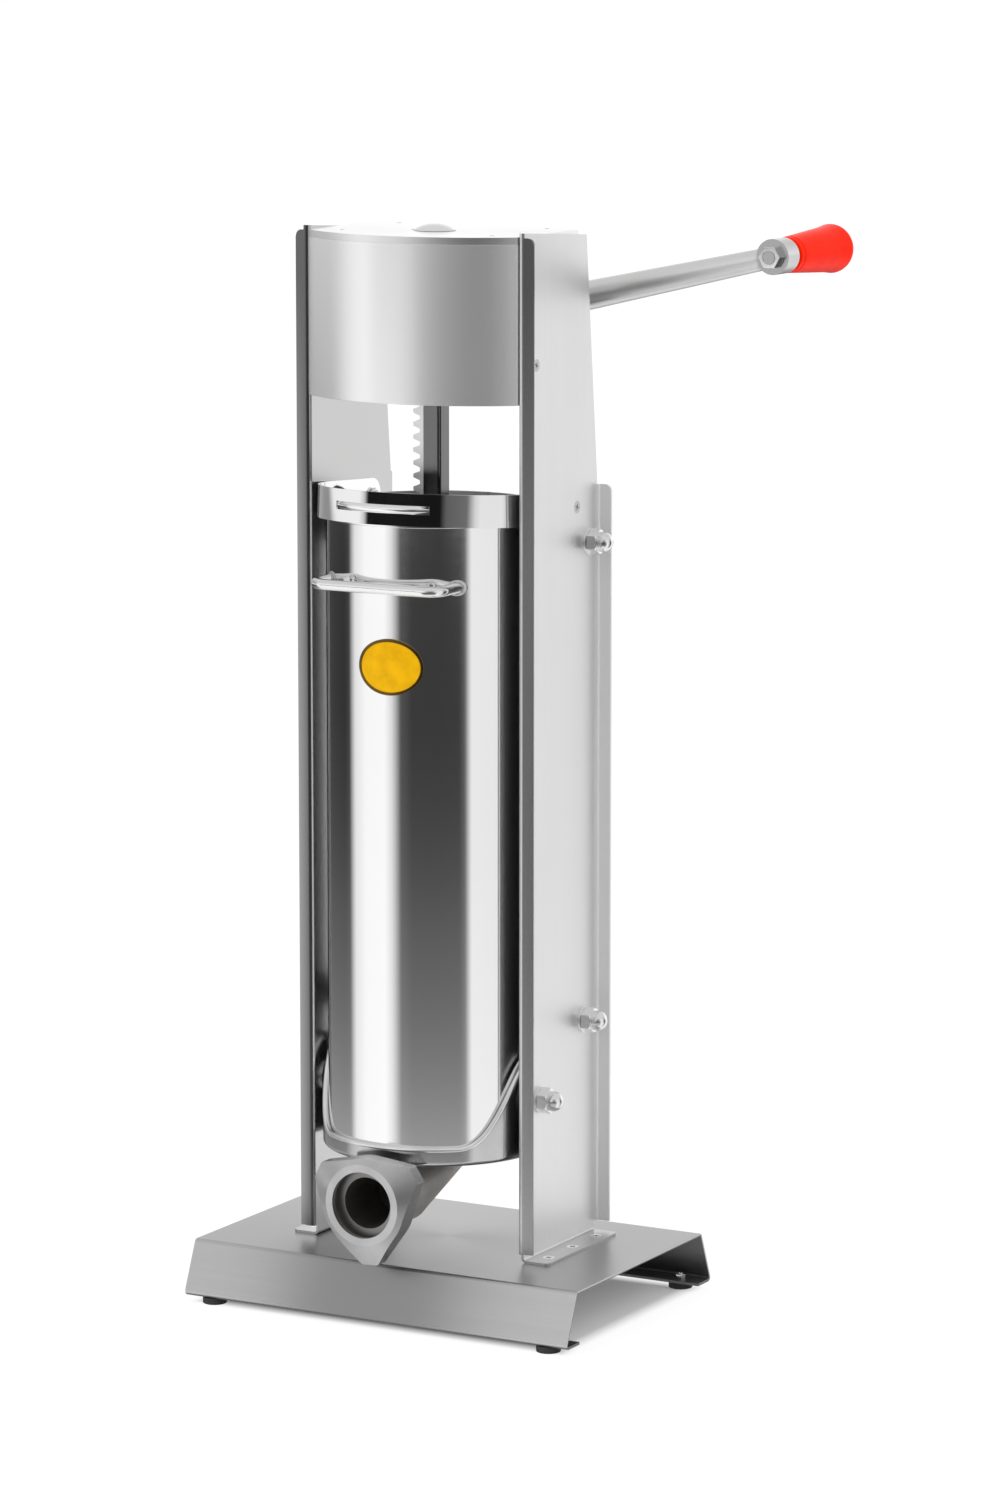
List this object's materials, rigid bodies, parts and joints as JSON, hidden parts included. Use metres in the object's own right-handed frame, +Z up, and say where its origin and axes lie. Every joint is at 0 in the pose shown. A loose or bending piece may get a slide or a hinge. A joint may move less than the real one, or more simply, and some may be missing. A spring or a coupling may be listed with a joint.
{
  "type": "vertical_sausage_stuffer",
  "caption": "Hand cranked vertical sausage stuffer: polished cylinder between two stainless columns, geared rack and piston, crank with red grip",
  "frame": {"origin": "on the table under the axis of the meat cylinder", "axes": "+X to the right seen from the spout side, +Y to the rear where the crank is, +Z up along the cylinder axis"},
  "size_m": [0.4026, 0.3138, 0.8002],
  "materials": {
    "stainless_sheet": "brushed stainless sheet, fine vertical grain",
    "mirror_stainless": "polished stainless steel",
    "cast_alloy": "polished cast aluminium, slightly uneven",
    "bright_fasteners": "plated steel, bright",
    "bright_steel": "turned and ground steel",
    "gear_steel": "machined steel, greased",
    "bronze": "plain bearing bronze",
    "guide_plastic": "white low friction plastic",
    "white_seal": "white food rubber, soft sheen",
    "black_rubber": "black rubber, matt",
    "red_plastic": "red plastic, glossy",
    "badge_enamel": "bare oval plate, glossy"
  },
  "bodies": {
    "frame": {"base_plate": "stainless_sheet", "left_column": "stainless_sheet", "right_column": "stainless_sheet", "upper_back_strap": "stainless_sheet", "lower_back_strap": "stainless_sheet", "gearbox_cover": "stainless_sheet", "gearbox_lid": "stainless_sheet", "gearbox_floor": "stainless_sheet", "meat_cylinder": "mirror_stainless", "cylinder_rim": "mirror_stainless", "cylinder_handle": "mirror_stainless", "cradle": "cast_alloy", "outlet_elbow": "cast_alloy", "foot_screws": "bright_fasteners", "foot_nuts": "bright_fasteners", "column_screws": "bright_fasteners", "column_nuts": "bright_fasteners", "strap_bolts": "bright_fasteners", "bolt_washers": "bright_fasteners", "cap_nuts": "bright_fasteners", "pivot_bolts": "bright_fasteners", "outlet_screws": "bright_fasteners", "hoop_screws": "bright_fasteners", "hoop_nuts": "bright_fasteners", "gearbox_screws": "bright_fasteners", "housing_plate_screws": "bright_fasteners", "front_bearing_plate": "bright_steel", "rear_bearing_plate": "bright_steel", "shaft_bushes": "bronze", "lower_rack_guide": "guide_plastic", "upper_rack_guide": "guide_plastic", "cylinder_gasket": "white_seal", "outlet_gasket": "white_seal", "rubber_feet": "black_rubber", "badge_plate": "badge_enamel"},
    "crank": {"crank_shaft": "bright_steel", "crank_pinion": "gear_steel", "crank_shaft_keys": "gear_steel", "crank_shaft_spacers": "gear_steel", "crank_shaft_clips": "gear_steel", "crank_arm": "bright_steel", "crank_washer": "bright_fasteners", "crank_cap_nut": "bright_fasteners", "grip_stud": "bright_steel", "grip_nut": "bright_fasteners"},
    "grip": {"crank_grip": "red_plastic"},
    "drive": {"pinion_shaft": "bright_steel", "drive_gear": "gear_steel", "rack_pinion": "gear_steel", "pinion_shaft_key": "gear_steel", "pinion_shaft_spacers": "gear_steel", "pinion_shaft_clips": "gear_steel"},
    "piston": {"rack": "bright_steel", "rack_top_cap": "bright_steel", "piston_disc": "cast_alloy", "piston_seal": "white_seal", "piston_screw": "bright_fasteners"},
    "valve": {"air_valve": "bright_steel"},
    "hoop": {"retaining_hoop": "mirror_stainless"},
    "ring_nut": {"spout_ring_nut": "cast_alloy"}
  },
  "joints": [
    {"name": "crank_turn", "type": "hinge", "parent": "frame", "child": "crank", "pos_m": [0.0322, 0.106, 0.735], "axis": [0, 1, 0], "range_deg": [0, 3928]},
    {"name": "drive_gear_turn", "type": "hinge", "parent": "frame", "child": "drive", "pos_m": [-0.0328, 0, 0.735], "axis": [0, 1, 0], "range_deg": [-1310, 0]},
    {"name": "rack_slide", "type": "slide", "parent": "frame", "child": "piston", "axis": [0, 0, 1], "range_m": [0, 0.48]},
    {"name": "grip_spin", "type": "hinge", "parent": "crank", "child": "grip", "pos_m": [0.22355, 0.16, 0.77742], "axis": [0, 1, 0], "continuous": true},
    {"name": "valve_lift", "type": "slide", "parent": "piston", "child": "valve", "axis": [0, 0, 1], "range_m": [0, 0.003]},
    {"name": "hoop_swing", "type": "hinge", "parent": "frame", "child": "hoop", "pos_m": [0, 0.053, 0.5935], "axis": [-1, 0, 0], "range_deg": [0, 25]},
    {"name": "ring_nut_turn", "type": "hinge", "parent": "frame", "child": "ring_nut", "pos_m": [0, -0.1, 0.096], "axis": [0, -1, 0], "continuous": true}
  ],
  "couplings": [
    {"joint": "drive_gear_turn", "follows": "crank_turn", "ratio": -0.33333},
    {"joint": "rack_slide", "follows": "crank_turn", "m_per_rad": 0.007}
  ]
}
